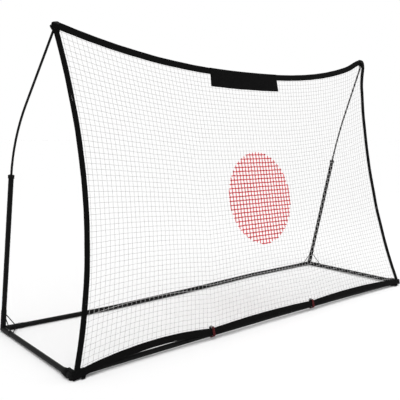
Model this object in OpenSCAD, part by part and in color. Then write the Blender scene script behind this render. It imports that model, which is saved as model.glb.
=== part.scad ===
// Free-standing pitching target net.
// A flat rectangle of round tubes lies on the ground. Two leaning uprights rise from its
// rear corners and carry bent rods, and the net is strung between the rod tips and the
// front of the base, with a red target area at its middle.
// Frame: X runs along the net, Y runs from the front to the back, Z is up. The origin is
// on the ground under the middle of the part.

/* [Base] */
// Distance between the corner centres along the net
base_length = 2440; // [2000:10:3000]
// Distance between the corner centres from front to back
base_depth = 762; // [700:2:900]
// Outside diameter of every steel tube
tube_d = 25; // [22:0.5:28]
// Wall of every steel tube
tube_wall = 1.5; // [1:0.1:2]
// How far the rear bar's first joint lies behind the line between its corners
rear_shift_1 = -38; // [-38:1:0]
// How far the rear bar's middle joint lies behind that line
rear_shift_2 = -26; // [-30:1:0]
// How far the rear bar's last joint lies behind that line
rear_shift_3 = 10; // [0:1:12]
// How far the net's pull lifts the front bar's first joint
front_lift_1 = 6; // [0:0.5:9]
// How far it lifts the front bar's middle joint
front_lift_2 = 9; // [0:0.5:12]
// How far it lifts the front bar's last joint
front_lift_3 = 6; // [0:0.5:9]
// Outside diameter of a section's reduced end
neck_d = 17; // [15:0.5:17]
// Length of a section's reduced end
neck_length = 26; // [16:1:30]
// Length of the shoulder between a tube and its reduced end
shoulder = 2; // [1:0.5:4]
// How far the balls in the four corners stand proud of the sockets that meet in them
corner_proud = 0.7; // [0.5:0.1:2]

/* [Rear brackets] */
// Wall of a bracket leg round its tube
leg_wall = 1.35; // [1:0.05:2.5]
// Reach of a bracket leg from the corner centre
leg_reach = 108; // [100:1:130]
// Where the socket of a leg begins, from the corner centre
socket_floor = 22; // [18:1:40]
// Diameter of the welded brace wires
wire_d = 5; // [3:0.5:6]
// Where the braces meet the leg of the upright, from the corner centre
brace_up = 82; // [70:1:84]
// Where the braces meet the rear bar's leg, from the corner centre
brace_bar = 62; // [50:1:70]
// Where the braces meet the side bar's leg, from the corner centre
brace_side = 103; // [95:1:104]
// Edge of the welded web in the inner corner
web_edge = 34; // [28:1:44]
// Thickness of the welded web
web_thickness = 5; // [3:0.5:8]

/* [Snap buttons] */
// Diameter of a button's pin
button_d = 8; // [6:0.5:9]
// How far a button stands proud of its leg
button_proud = 3.5; // [2:0.5:5]
// Place of the buttons on the flat legs, from the corner centre
button_out = 84; // [80:1:90]
// Place of the buttons on the legs of the uprights, from the corner centre
button_up = 96; // [94:1:98]
// Width of a button's spring strip
strip_width = 8; // [6:0.5:9]
// Thickness of a button's spring strip
strip_thickness = 1; // [0.6:0.1:1.2]
// Length of a button's spring strip
strip_length = 36; // [24:1:50]

/* [Front elbows] */
// Wall of an elbow's sockets
elbow_wall = 3.35; // [2.5:0.05:4]
// Reach of an elbow's sockets from the corner centre
elbow_reach = 62; // [60:1:90]
// Height of the front tubes' centre lines above the ground
front_height = 20; // [19.6:0.1:26]
// Diameter of the flat foot under an elbow
foot_d = 20; // [16:1:32]

/* [Uprights and rods] */
// Lean of the uprights towards the net, in degrees
upright_lean = 13.25; // [10:0.25:16]
// Distance from the corner centre to the top of an upright's collar
upright_reach = 833; // [700:1:900]
// Diameter of the collar on top of an upright
collar_d = 30; // [29:0.5:36]
// Height of the collar above its tube
collar_height = 15; // [8:1:30]
// Depth of the rod's socket in the collar
rod_socket = 72; // [50:1:120]
// Thickness of the socket's floor
collar_floor = 4; // [2:0.5:8]
// Diameter of a bent rod
rod_d = 11; // [9:0.5:11.5]
// Diameter of the ferrule on a rod's foot
ferrule_d = 13; // [12:0.5:15]
// Tangent length of a rod's bend, from the collar
bend_tangent = 180; // [150:5:345]
// How far in from the corner centre a rod's tip is
tip_inset = 103; // [60:1:160]
// How far behind the front bar a rod's tip is
tip_setback = 277; // [200:1:330]
// Height of a rod's tip above the ground
tip_height = 1485; // [1400:5:1560]
// Diameter of the cap on a rod's tip
cap_d = 18; // [17:0.5:22]
// Diameter of the cap's head
cap_head_d = 26; // [25:0.5:32]
// Height of the cap's head
cap_head = 8; // [5:0.5:12]
// How far the rod reaches past the middle of the cap's neck
rod_over = 9; // [4:0.5:11]

/* [Net] */
// Meshes across the net
mesh_across = 24; // [10:2:24]
// Meshes up the net
mesh_up = 11; // [6:1:11]
// Width of a strand
strand = 6; // [4:0.5:8]
// Thickness of the net
net_thickness = 3; // [2:0.5:4]
// Height above the ground of the middle of the net's lower edge tape, at the corners
net_base_height = 48; // [48:0.5:60]
// How far in front of the front bar's centre line that middle is
net_base_front = 16; // [16:0.5:20]
// How far in from the corner centre the net's lower left corner is
inset_left = 12; // [8:1:30]
// How far in from the corner centre the net's lower right corner is
inset_right = 22; // [8:1:40]
// How far the left edge draws in between its corners
draw_left = 96; // [40:1:130]
// How far the right edge draws in between its corners
draw_right = 102; // [40:1:130]
// How much more the side edges draw in below than above, as a share
draw_skew = 0.1; // [0:0.02:0.3]
// How far the top edge dips between the corners
top_draw = 154; // [80:1:200]
// How far the net's top corners rise past the rod tips
corner_rise = 12; // [8:1:14]
// How sharply the top edge rises to its corners
top_power = 2.4; // [2:0.1:3]
// How far to the right the top edge's lowest point lies, as a share of half its length
top_skew = 0.06; // [0:0.01:0.12]
// How far the lower edge is drawn down at its left end
drop_left = 26; // [0:1:26]
// How far it is drawn down at its right end
drop_right = 20; // [0:1:24]
// How far the ties draw it down
tie_drop = 3; // [0:1:6]
// How far the lower edge lifts between its left end and the left tie
lift_left = 33; // [0:1:36]
// How far it lifts between the ties
lift_middle = 10; // [0:1:20]
// How far it lifts between the right tie and its right end
lift_right = 16; // [0:1:20]

/* [Edge tape] */
// Width of the side edge tapes
tape_width = 26; // [24:1:30]
// Width of the lower edge tape
low_tape_width = 38; // [30:1:40]
// Width of the top edge tape
top_tape_width = 34; // [26:1:38]
// Thickness of the folded edge tape
tape_thickness = 4; // [3:0.5:5]
// How far the lower tape runs past the corner centres
tape_over = 6; // [0:1:10]
// Clear space between a rod tip and the ends of the edge tapes
tip_clear = 18; // [17:1:24]
// Width of the bare tab at the middle of the top edge
tab_width = 506; // [300:2:700]
// Height of the tab, from the top of the edge tape
tab_height = 100; // [60:1:120]
// Thickness of the tab
tab_thickness = 1.5; // [1:0.5:3]

/* [Target] */
// Width of the red target area
target_width = 471; // [300:1:600]
// Height of the red target area
target_height = 509; // [300:1:600]
// Height of its middle above the net's lower edge, along the net
target_middle = 638; // [500:1:760]
// Meshes across and up the target area
target_mesh = 6; // [4:1:6]
// Width of the target area's strands
target_strand = 14; // [6:1:20]
// Thickness of the target area's strands
target_thickness = 2; // [1:0.5:3]

/* [Straps and ties] */
// Thickness of the corner straps
strap = 2.5; // [1.5:0.1:2.8]
// Width of the corner straps
strap_width = 20; // [14:1:20]
// Distance from the corner centre to the near edge of a front strap
strap_at = 41; // [36:1:41]
// Distance from the corner centre to the near edge of a side strap
side_strap_at = 20; // [18:1:36]
// Length of the tongue that joins a front strap to the edge tape
tongue = 24; // [20:1:30]
// Length of the loop round a rod's cap
cap_loop = 25; // [18:1:28]
// Diameter of a tie's ball
ball_d = 22; // [18:0.5:26]
// Diameter of a tie's elastic cord
elastic_d = 5; // [3:0.5:5]
// Distance between the two strands of a tie
elastic_gap = 8; // [6:0.5:10]
// Place of the left tie, from the middle
tie_left = -448; // [-460:1:-440]
// Place of the right tie, from the middle
tie_right = 317; // [312:1:340]
// Height of a ball's centre above the middle of the lower edge tape, along the net
ball_rise = 17; // [15:1:23]

/* [Shock cords] */
// Diameter of the elastic cords inside the bars
shock_d = 4; // [3:0.5:6]
// Radius of the knots at their ends
knot_r = 4; // [3.5:0.25:6]
// Distance of the cords' end plugs from the corner centres
plug_at = 150; // [140:5:250]
// Length of an end plug
plug_length = 10; // [6:1:20]

/* [Clearances] */
// Gap round a tube in its socket, all round
socket_gap = 0.15; // [0.1:0.05:0.3]
// Gap between neighbouring pieces that do not slide
fit_gap = 0.3; // [0.2:0.05:0.4]
// Gap between two sections of a bar
section_gap = 2.2; // [1.8:0.1:4]

/* [Hidden] */
$fn = 48;

// ---- Derived sizes
bar_sections = 4;
half = base_length / 2;
tube_r = tube_d / 2;
tube_bore = tube_d - 2 * tube_wall;
leg_bore = tube_d + 2 * socket_gap;
leg_d = leg_bore + 2 * leg_wall;
elbow_d = leg_bore + 2 * elbow_wall;
strap_bore = elbow_d + 2 * fit_gap;
strap_d = strap_bore + 2 * strap;
rear_height = leg_d / 2 + corner_proud;
half_tape = tape_width / 2;
half_top = top_tape_width / 2;
half_low = low_tape_width / 2;
elastic_r = elastic_d / 2;
face_off = tape_thickness / 2 + fit_gap + elastic_r;

// ---- The net's lean, and the origin at the middle of the part's whole depth
net_lean = atan2(tip_setback + net_base_front, tip_height - net_base_height);
// A tie's elastic leaves the face of the lower tape this far below the net's base
leave_s = tie_drop + half_low + elastic_r;
tie_front = net_base_front + leave_s * sin(net_lean) + (face_off + elastic_r) * cos(net_lean);
front_reach = max(strap_d / 2, tie_front);
back_reach = max(rear_height, rear_shift_3 + tube_r);
front_y = (front_reach - back_reach - base_depth) / 2;
rear_y = front_y + base_depth;
tube_start = socket_floor + fit_gap;

// ---- Points of the left half. The right half is its mirror image.
front_corner = [-half, front_y, front_height];
rear_corner = [-half, rear_y, rear_height];
up_way = [0, -sin(upright_lean), cos(upright_lean)];
collar_top = rear_corner + upright_reach * up_way;
tip = [-half + tip_inset, front_y + tip_setback, tip_height];
upright_end = upright_reach - collar_height;

// The sections of both bars lie a little out of line, as their joints let them
rear_shift = [0, rear_shift_1, rear_shift_2, rear_shift_3, 0];
front_lift = [0, front_lift_1, front_lift_2, front_lift_3, 0];
function flip(p) = [-p.x, p.y, p.z];
function rear_joint(i) = [
    -half + base_length * i / bar_sections,
    rear_y + rear_shift[i],
    rear_height
];
function front_joint(i) = [
    -half + base_length * i / bar_sections,
    front_y,
    front_height + front_lift[i]
];
// Where an elbow's leg for the front bar points, drawn as on the left side
function front_to(right) = right ? flip(front_joint(bar_sections - 1)) : front_joint(1);
// Height of the front bar's centre line at x
function bar_height(x) = let (
    place = (x + half) / base_length * bar_sections,
    i = floor(place)
) front_height + front_lift[i] + (front_lift[i + 1] - front_lift[i]) * (place - i);

// ---- The net's own plane: x as in the part, s up the net from the lower edge tape
net_y = front_y - net_base_front;
tip_s = norm([tip.y - net_y, tip.z - net_base_height]);
corner_s = tip_s + corner_rise;
top_span = base_length - 2 * tip_inset;
// The tie places and the ends are where the lower edge is held
held = [-half, tie_left, tie_right, half];
held_s = [-drop_left, -tie_drop, -tie_drop, -drop_right];
lifts = [lift_left, lift_middle, lift_right];
// How far each side edge is from the middle, v up the net
function side_x(v, inset, draw) = half - inset - (tip_inset - inset) * v
    - 4 * draw * v * (1 - v) * (1 + draw_skew * (1 - 2 * v));
function top_place(w) = w - top_skew * (1 - w * w);
function top_s(u) = corner_s - top_draw * (1 - pow(abs(top_place(2 * u - 1)), top_power));
function bay(x) = x < held[1] ? 0 : x < held[2] ? 1 : 2;
// The lower edge over one bay, t from its left end
function bay_s(i, t) = held_s[i] + (held_s[i + 1] - held_s[i]) * t
    + 4 * lifts[i] * t * (1 - t);
function low_s(x) = let (i = bay(x), t = (x - held[i]) / (held[i + 1] - held[i]))
    bay_s(i, max(0, min(1, t)));
// A point of the net, u across and v up, both 0 to 1
function net_x(u, v) = u * side_x(v, inset_right, draw_right)
    - (1 - u) * side_x(v, inset_left, draw_left);
function net_s(u, v) = let (low = low_s(net_x(u, 0))) low + (top_s(u) - low) * v;
function net_at(u, v) = [net_x(u, v), net_s(u, v)];

module net_plane(offset = 0) {
    translate([0, net_y, net_base_height])
        rotate([90 - net_lean, 0, 0])
            translate([0, 0, offset]) children();
}

// A flat strip of a given width along a list of points
function unit(v) = v / norm(v);
function way(p, i) = unit(p[min(i + 1, len(p) - 1)] - p[max(i - 1, 0)]);
function beside(p, i, d) = p[i] + d * [-way(p, i).y, way(p, i).x];
module strip(points, left, right) {
    n = len(points) - 1;
    polygon(concat([for (i = [0:n]) beside(points, i, left)],
        [for (i = [n:-1:0]) beside(points, i, -right)]));
}

// Puts the children's +Z on the way from p to q, with their origin at p
module toward(p, q) {
    v = q - p;
    translate(p) rotate([0, acos(v.z / norm(v)), atan2(v.y, v.x)]) children();
}

module mirrored(right) {
    if (right) mirror([1, 0, 0]) children();
    else children();
}

// ---- Tubes
module plain_tube(from, to) {
    translate([0, 0, from]) difference() {
        cylinder(h = to - from, d = tube_d);
        translate([0, 0, -1]) cylinder(h = to - from + 2, d = tube_bore);
    }
}

// A tube whose far end is drawn down to a neck that plugs into the next tube
module necked_tube(from, to) {
    bore_r = tube_bore / 2;
    neck_r = neck_d / 2;
    hole_r = neck_r - tube_wall;
    end = to + shoulder + neck_length;
    rotate_extrude() polygon([
        [bore_r, from], [tube_r, from], [tube_r, to], [neck_r, to + shoulder],
        [neck_r, end], [hole_r, end], [hole_r, to + shoulder - tube_wall],
        [bore_r, to - tube_wall]
    ]);
}

// A hole for a button, through one wall of the tube that lies along +Z
module button_hole(at, reach) {
    translate([0, 0, at]) rotate([0, 90, 0]) cylinder(h = reach, d = button_d + 2 * fit_gap);
}

// Section i of a bar, from joint p to joint q. Buttons stand on the bar's upper side.
module bar_section(i, p, q) {
    long = norm(q - p);
    first = i == 1;
    last = i == bar_sections;
    from = first ? tube_start : section_gap / 2;
    to = last ? long - tube_start : long - section_gap / 2 - shoulder / 2;
    toward(p, q) {
        if (last) plain_tube(from + shoulder / 2, to);
        else necked_tube(first ? from : from + shoulder / 2, to);
    }
}

module rear_section(i) {
    p = rear_joint(i - 1);
    q = rear_joint(i);
    color("#1c1c1e") difference() {
        bar_section(i, p, q);
        // rotate() has put the children's -X on the bar's upper side
        if (i == 1) toward(p, q) mirror([1, 0, 0]) button_hole(button_out, tube_d);
        if (i == bar_sections) toward(q, p) mirror([1, 0, 0]) button_hole(button_out, tube_d);
    }
}

module front_section(i) {
    color("#1c1c1e") bar_section(i, front_joint(i - 1), front_joint(i));
}

module side_bar(right) {
    long = norm(rear_corner - front_corner);
    color("#1e1e20") mirrored(right) difference() {
        toward(rear_corner, front_corner) plain_tube(tube_start, long - tube_start);
        toward(rear_corner, front_corner) mirror([1, 0, 0]) button_hole(button_out, tube_d);
    }
}

module upright_frame() {
    translate(rear_corner) rotate([upright_lean, 0, 0]) children();
}

module upright(right) {
    color("#1a1a1c") mirrored(right) upright_frame() difference() {
        plain_tube(tube_start, upright_end);
        rotate([0, 0, 90]) button_hole(button_up, tube_d);
    }
}

// ---- Rear brackets: three sockets welded to a corner, with brace wires between them
module leg_solid() {
    cylinder(h = leg_reach, d = leg_d);
}

module leg_hollow() {
    translate([0, 0, socket_floor]) cylinder(h = leg_reach, d = leg_bore);
}

module brace(a, b) {
    toward(a, b) cylinder(h = norm(b - a), d = wire_d, $fn = 24);
}

// c is the corner, bar_to and side_to are where the two flat legs point
module bracket(c, bar_to, side_to) {
    bar_way = unit(bar_to - c);
    side_way = unit(side_to - c);
    edge = (leg_d - wire_d) / 2;
    up_spot = c + brace_up * up_way;
    bar_spot = c + brace_bar * bar_way;
    side_spot = c + brace_side * side_way;
    color("#161618") difference() {
        union() {
            translate(c) sphere(r = rear_height);
            toward(c, c + up_way) leg_solid();
            toward(c, bar_to) leg_solid();
            toward(c, side_to) leg_solid();
            brace(up_spot + edge * bar_way, bar_spot + edge * [0, 0, 1]);
            brace(up_spot + edge * side_way, side_spot + edge * [0, 0, 1]);
            brace(bar_spot + edge * side_way, side_spot + edge * bar_way);
            translate([c.x, c.y, c.z - web_thickness / 2]) linear_extrude(web_thickness)
                polygon([[0, 0], web_edge * [bar_way.x, bar_way.y],
                    web_edge * [side_way.x, side_way.y]]);
        }
        toward(c, c + up_way) leg_hollow();
        toward(c, bar_to) leg_hollow();
        toward(c, side_to) leg_hollow();
        translate(c) rotate([upright_lean, 0, 0]) rotate([0, 0, 90]) button_hole(button_up, leg_d);
        toward(c, bar_to) mirror([1, 0, 0]) button_hole(button_out, leg_d);
        toward(c, side_to) mirror([1, 0, 0]) button_hole(button_out, leg_d);
    }
}

module rear_bracket_left() {
    bracket(rear_corner, rear_joint(1), front_corner);
}

module rear_bracket_right() {
    bracket(flip(rear_corner), rear_joint(bar_sections - 1), flip(front_corner));
}

// ---- Snap buttons. The pin stands on +X, the tube lies along +Z.
leaf_r = tube_bore / 2 - 2;
pin_end = leg_d / 2 + button_proud;

module snap_button(at) {
    dome = button_d / 2;
    color("#8c8c90") translate([0, 0, at]) {
        rotate([0, 90, 0]) translate([0, 0, leaf_r - strip_thickness]) {
            cylinder(h = pin_end - leaf_r + strip_thickness - dome / 2, d = button_d);
            translate([0, 0, pin_end - leaf_r + strip_thickness - dome / 2])
                intersection() {
                    translate([0, 0, -dome * 0.75]) sphere(r = dome * 1.25);
                    cylinder(h = dome, r = dome);
                }
        }
        translate([leaf_r - strip_thickness, -strip_width / 2, -strip_width / 2])
            cube([strip_thickness, strip_width, strip_length + strip_width / 2]);
    }
}

// The fixed arm of the button's spring and the bend that joins the two arms
module spring_arm(at) {
    translate([0, 0, at]) {
        translate([-leaf_r, -strip_width / 2, 0])
            cube([strip_thickness, strip_width, strip_length]);
        translate([0, strip_width / 2, strip_length]) rotate([90, 0, 0])
            linear_extrude(strip_width) intersection() {
                difference() {
                    circle(r = leaf_r);
                    circle(r = leaf_r - strip_thickness);
                }
                translate([-leaf_r, fit_gap]) square([2 * leaf_r, leaf_r]);
            }
        translate([-leaf_r, -strip_width / 2, strip_length - 1])
            cube([strip_thickness, strip_width, 1 + 2 * fit_gap]);
    }
}

module at_upright_button(right) {
    mirrored(right) upright_frame() rotate([0, 0, 90]) children();
}

module at_rear_button(right) {
    p = right ? flip(rear_corner) : rear_corner;
    q = right ? rear_joint(bar_sections - 1) : rear_joint(1);
    toward(p, q) mirror([1, 0, 0]) children();
}

module at_side_button(right) {
    mirrored(right) toward(rear_corner, front_corner) mirror([1, 0, 0]) children();
}

module button_springs() {
    color("#77777c") for (right = [false, true]) {
        at_upright_button(right) spring_arm(button_up);
        at_rear_button(right) spring_arm(button_out);
        at_side_button(right) spring_arm(button_out);
    }
}

// ---- Front elbows: moulded corners with two sockets and a flat foot
module front_elbow(right) {
    side_to = rear_corner;
    bar_to = front_to(right);
    color("#18181a") mirrored(right) difference() {
        union() {
            translate(front_corner) sphere(r = elbow_d / 2 + corner_proud);
            toward(front_corner, side_to) cylinder(h = elbow_reach, d = elbow_d);
            toward(front_corner, bar_to) cylinder(h = elbow_reach, d = elbow_d);
            translate([front_corner.x, front_corner.y, 0]) cylinder(h = front_height, d = foot_d);
        }
        toward(front_corner, side_to) translate([0, 0, socket_floor])
            cylinder(h = elbow_reach, d = leg_bore);
        toward(front_corner, bar_to) translate([0, 0, socket_floor])
            cylinder(h = elbow_reach, d = leg_bore);
    }
}

// ---- Rods and what holds them
// In the rod's own frame, Z runs on from the upright and the rod bends towards +X
tip_across = (tip - collar_top) * [1, 0, 0];
tip_down = (tip - collar_top) * [0, cos(upright_lean), sin(upright_lean)];
tip_along = (tip - collar_top) * up_way;
bend_side = norm([tip_across, tip_down]);
bend_turn = atan2(bend_side, tip_along - bend_tangent);
bend_r = bend_tangent / tan(bend_turn / 2);
straight_end = norm([bend_side, tip_along - bend_tangent]) - bend_tangent;
rod_bore = rod_d + 2 * fit_gap;
socket_bore = ferrule_d + 2 * fit_gap;
cap_neck = cap_loop / 2 + fit_gap;

module rod_frame() {
    translate(collar_top) rotate([upright_lean, 0, 0])
        rotate([0, 0, atan2(tip_down, tip_across)]) children();
}

// At the rod's tip, Z runs on along the rod
module at_tip() {
    rod_frame() translate([bend_side, 0, tip_along]) rotate([0, bend_turn, 0]) children();
}

module rod(right) {
    // The bend runs this far down into the ferrule on the rod's foot
    seat = 5;
    seat_turn = seat / bend_r * 180 / PI;
    color("#141416") mirrored(right) {
        rod_frame() translate([0, 0, -rod_socket + fit_gap])
            cylinder(h = rod_socket - 2 * fit_gap, d = ferrule_d);
        at_tip() translate([0, 0, -straight_end]) {
            cylinder(h = straight_end + rod_over, d = rod_d);
            translate([bend_r, 0, 0]) rotate([0, 180, 0]) rotate([90, 0, 0])
                rotate_extrude(angle = bend_turn + seat_turn)
                    translate([bend_r, 0]) circle(d = rod_d);
        }
    }
}

module rod_collar(right) {
    plug = rod_socket + collar_floor;
    color("#101012") mirrored(right) rod_frame() difference() {
        union() {
            translate([0, 0, -collar_height + fit_gap])
                cylinder(h = collar_height - fit_gap, d = collar_d);
            translate([0, 0, -plug]) cylinder(h = plug - 1, d = tube_bore - 2 * socket_gap);
        }
        translate([0, 0, -rod_socket]) cylinder(h = rod_socket + 1, d = socket_bore);
    }
}

module rod_cap(right) {
    neck_r = cap_d / 2;
    head_r = cap_head_d / 2;
    skirt = cap_neck + 4;
    rim = cap_head / 2;
    color("#121214") mirrored(right) at_tip() difference() {
        union() {
            translate([0, 0, -skirt]) cylinder(h = skirt + cap_neck + 1, r = neck_r);
            translate([0, 0, cap_neck]) cylinder(h = cap_head - rim / 2, r = head_r);
            translate([0, 0, cap_neck + cap_head - rim / 2])
                cylinder(h = rim / 2, r1 = head_r, r2 = head_r - rim);
        }
        translate([0, 0, -skirt - 1]) cylinder(h = skirt + 1 + rod_over + fit_gap, d = rod_bore);
    }
}

// ---- Edge tapes
edge_steps = 40;
ends = tip_clear / top_span;
top_line = [for (i = [0:edge_steps])
    let (u = ends + (1 - 2 * ends) * i / edge_steps)
    [(2 * u - 1) * top_span / 2, top_s(u)]];
side_top = (tip_s - tip_clear) / corner_s;
left_line = [for (i = [0:edge_steps]) net_at(0, side_top * i / edge_steps)];
right_line = [for (i = [0:edge_steps]) net_at(1, side_top * i / edge_steps)];
low_steps = 60;
low_line = [for (i = [0:low_steps])
    let (x = -half - tape_over + (base_length + 2 * tape_over) * i / low_steps)
    [x, low_s(x)]];

module flat(thickness) {
    net_plane(-thickness / 2) linear_extrude(thickness) children();
}

module top_tape() {
    color("#17171a") flat(tape_thickness) strip(top_line, half_top, half_top);
}

module bottom_tape() {
    color("#17171a") flat(tape_thickness) strip(low_line, half_low, half_low);
}

module side_tape(line) {
    low_clear = half_low + fit_gap;
    top_clear = half_top + fit_gap;
    color("#17171a") flat(tape_thickness) difference() {
        strip(line, half_tape, half_tape);
        strip(low_line, low_clear, 2 * low_clear);
        strip(top_line, top_clear, top_clear);
    }
}

module left_tape() {
    side_tape(left_line);
}

module right_tape() {
    side_tape(right_line);
}

// The tab is sewn to the face of the top tape and hangs below it
module blank_tab() {
    reach = tab_width / 2 / top_span;
    line = [for (i = [0:12])
        let (u = 0.5 - reach + 2 * reach * i / 12)
        [(2 * u - 1) * top_span / 2, top_s(u)]];
    color("#141416") net_plane(tape_thickness / 2 + fit_gap) linear_extrude(tab_thickness)
        strip(line, half_top, tab_height - half_top);
}

// ---- Net and target
module mesh_hole(u0, u1, v0, v1, width) {
    a = net_at(u0, v0);
    b = net_at(u1, v0);
    c = net_at(u1, v1);
    d = net_at(u0, v1);
    h = width / 2;
    polygon([a + [h, h], b + [-h, h], c + [-h, -h], d + [h, -h]]);
}

module net() {
    clear = half_tape + fit_gap;
    low_clear = half_low + fit_gap;
    top_clear = half_top + fit_gap;
    color("#e4e4e2") flat(net_thickness) difference() {
        polygon(concat(
            [for (i = [0:edge_steps]) net_at(i / edge_steps, 0)],
            [for (i = [1:edge_steps]) net_at(1, i / edge_steps)],
            [for (i = [edge_steps - 1:-1:0]) net_at(i / edge_steps, 1)],
            [for (i = [edge_steps - 1:-1:1]) net_at(0, i / edge_steps)]
        ));
        strip(low_line, low_clear, 2 * low_clear);
        strip(top_line, 2 * top_clear, top_clear);
        strip(left_line, 3 * clear, clear);
        strip(right_line, clear, 3 * clear);
        for (side = [-1, 1]) translate([side * (half - tip_inset), tip_s])
            circle(r = 2 * tip_clear);
        for (i = [0:mesh_across - 1], j = [0:mesh_up - 1])
            mesh_hole(i / mesh_across, (i + 1) / mesh_across, j / mesh_up, (j + 1) / mesh_up,
                strand);
    }
}

module target_spot() {
    pitch_x = target_width / target_mesh;
    pitch_s = target_height / target_mesh;
    rim_points = 60;
    face = max(net_thickness, target_thickness) / 2 + fit_gap;
    color("#d8323c") net_plane(face) linear_extrude(target_thickness)
        translate([0, target_middle]) intersection() {
            polygon([for (i = [0:rim_points - 1])
                let (a = 360 * i / rim_points)
                [target_width / 2 * cos(a), target_height / 2 * sin(a)]]);
            difference() {
                square([target_width + 2, target_height + 2], center = true);
                for (i = [0:target_mesh - 1], j = [0:target_mesh - 1])
                    translate([(i - (target_mesh - 1) / 2) * pitch_x,
                        (j - (target_mesh - 1) / 2) * pitch_s])
                        square([pitch_x - target_strand, pitch_s - target_strand],
                            center = true);
            }
        }
}

// ---- Loops that hold the net's top corners on the rod caps
function swapped(line) = [for (i = [len(line) - 1:-1:0]) [-line[i].x, line[i].y]];

module top_loop(right) {
    x = -half + tip_inset;
    g = fit_gap;
    // How far the patch's corner stands past the tapes' ends
    lip = 4;
    top = right ? swapped(top_line) : top_line;
    side = right ? [for (p = right_line) [-p.x, p.y]] : left_line;
    side_end = side[len(side) - 1];
    color("#1b1b1e") mirrored(right) difference() {
        union() {
            at_tip() translate([0, 0, -cap_loop / 2])
                cylinder(h = cap_loop, d = cap_d + 2 * g + 2 * strap);
            flat(tape_thickness) polygon([
                side_end + [-half_tape, g], side_end + [half_tape, g],
                [x + tip_clear - g, top[0].y - half_top],
                [x + tip_clear - g, top[0].y + half_top],
                [x + lip, tip_s + half_top + lip], [x - half_top / 2, tip_s + 2 * lip]
            ]);
        }
        at_tip() translate([0, 0, -2 * cap_loop]) cylinder(h = 4 * cap_loop, d = cap_d + 2 * g);
        at_tip() translate([0, 0, cap_neck - g]) cylinder(h = 2 * cap_loop, d = cap_head_d + 2 * g);
        flat(2 * tape_thickness) strip(top, half_top + g, half_top + g);
        flat(2 * tape_thickness) strip(side, half_tape + g, half_tape + g);
    }
}

// ---- Straps that hold the net's lower corners on the front elbows
module strap_ring(at) {
    translate([0, 0, at]) cylinder(h = strap_width, d = strap_d);
}

module strap_bore(at) {
    translate([0, 0, at - 1]) cylinder(h = strap_width + 2, d = strap_bore);
}

module side_strap(right) {
    c = front_corner;
    low = c.z + elbow_d / 2 + corner_proud + fit_gap;
    rear = c.y + side_strap_at + strap_width;
    back_face = net_y + (low - net_base_height) * tan(net_lean)
        + (tape_thickness / 2 + fit_gap) / cos(net_lean) + strap * tan(net_lean);
    color("#1b1b1e") mirrored(right) difference() {
        union() {
            toward(c, rear_corner) strap_ring(side_strap_at);
            translate([c.x - tape_over, back_face, low])
                cube([strap_width, rear - back_face, strap]);
        }
        toward(c, rear_corner) strap_bore(side_strap_at);
    }
}

module front_strap(right) {
    c = front_corner;
    near = c.x + strap_at;
    middle = near + strap_width / 2;
    // The tongue ends this far below the tape's upper edge
    below = 4;
    tongue_end = low_s(right ? -middle : middle) + half_low - below;
    color("#1b1b1e") mirrored(right) difference() {
        union() {
            toward(c, front_to(right)) strap_ring(strap_at);
            net_plane(-tape_thickness / 2 - fit_gap - strap)
                translate([near, tongue_end - tongue, 0])
                    cube([strap_width, tongue, strap]);
        }
        toward(c, front_to(right)) strap_bore(strap_at);
    }
}

// ---- Ties: a ball behind the lower tape, and an elastic loop round the bar and the tape
ball_r = ball_d / 2;
ball_back = tape_thickness / 2 + fit_gap + ball_r;
hug_r = tube_r + fit_gap + elastic_r;

// A point beside the net, s up it and d in front of it, as [y, z]
function by_net(s, d) = [net_y + s * sin(net_lean) - d * cos(net_lean),
    net_base_height + s * cos(net_lean) + d * sin(net_lean)];
ball_at = by_net(ball_rise - tie_drop, -ball_back);
leave = by_net(-leave_s, face_off);
over_s = half_low - tie_drop + elastic_r + 2;
touch = ball_r + fit_gap + 2;
hug_steps = 8;
// How far the elastic bows out behind the bar on its way up to the ball
bow = [6, -4];

// The elastic meets the bar where the line from the tape's lower edge touches it
function hug_start(bar) = let (v = leave - bar)
    atan2(-v.y, -v.x) + 180 + acos(hug_r / norm(v));
function on_bar(bar, a) = bar + hug_r * [cos(a), sin(a)];
function tie_route(x) = let (
    bar = [front_y, bar_height(x)],
    from = hug_start(bar),
    last = on_bar(bar, 370)
) concat(
    [ball_at + touch * unit(by_net(over_s + 1, -face_off) - ball_at)],
    [by_net(over_s + 1, -face_off / 3), by_net(over_s, face_off / 2)],
    [by_net(over_s - elastic_r, face_off), by_net(-tie_drop, face_off), leave],
    [for (k = [0:hug_steps]) on_bar(bar, from + (360 - from) * k / hug_steps)],
    [(last + ball_at) / 2 + bow],
    [ball_at + touch * unit(last - ball_at)]
);
ring_sides = 8;

// One ring of a tube round route point i, for a route in the plane with this normal
function ring(route, i, normal, r) = let (side = cross(normal, way(route, i)))
    [for (k = [0:ring_sides - 1])
        let (a = 360 * k / ring_sides)
        route[i] + r * cos(a) * normal + r * sin(a) * side];

// A tube along a route, with a radius for each of its points
module swept(route, normal, radii) {
    n = len(route);
    m = ring_sides;
    points = [for (i = [0:n - 1]) each ring(route, i, normal, radii[i])];
    walls = [for (i = [0:n - 2], k = [0:m - 1])
        let (a = i * m + k, b = i * m + (k + 1) % m)
        each [[a, a + m, b], [b, a + m, b + m]]];
    near = [[for (k = [0:m - 1]) k]];
    far = [[for (k = [m - 1:-1:0]) (n - 1) * m + k]];
    polyhedron(points = points, faces = concat(walls, near, far));
}

module tie_loop(x) {
    route = tie_route(x);
    color("#8a2024") for (side = [-1, 1])
        swept([for (p = route) [x + side * elastic_gap / 2, p.x, p.y]], [1, 0, 0],
            [for (p = route) elastic_r]);
}

module tie_ball(x) {
    color("#101012") translate([x, ball_at.x, ball_at.y]) sphere(d = ball_d);
}

// ---- Shock cords inside the bars, knotted behind their end plugs
function toward_point(p, q, d) = p + d * unit(q - p);
knot_at = plug_at - plug_length / 2 - fit_gap - knot_r;

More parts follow.
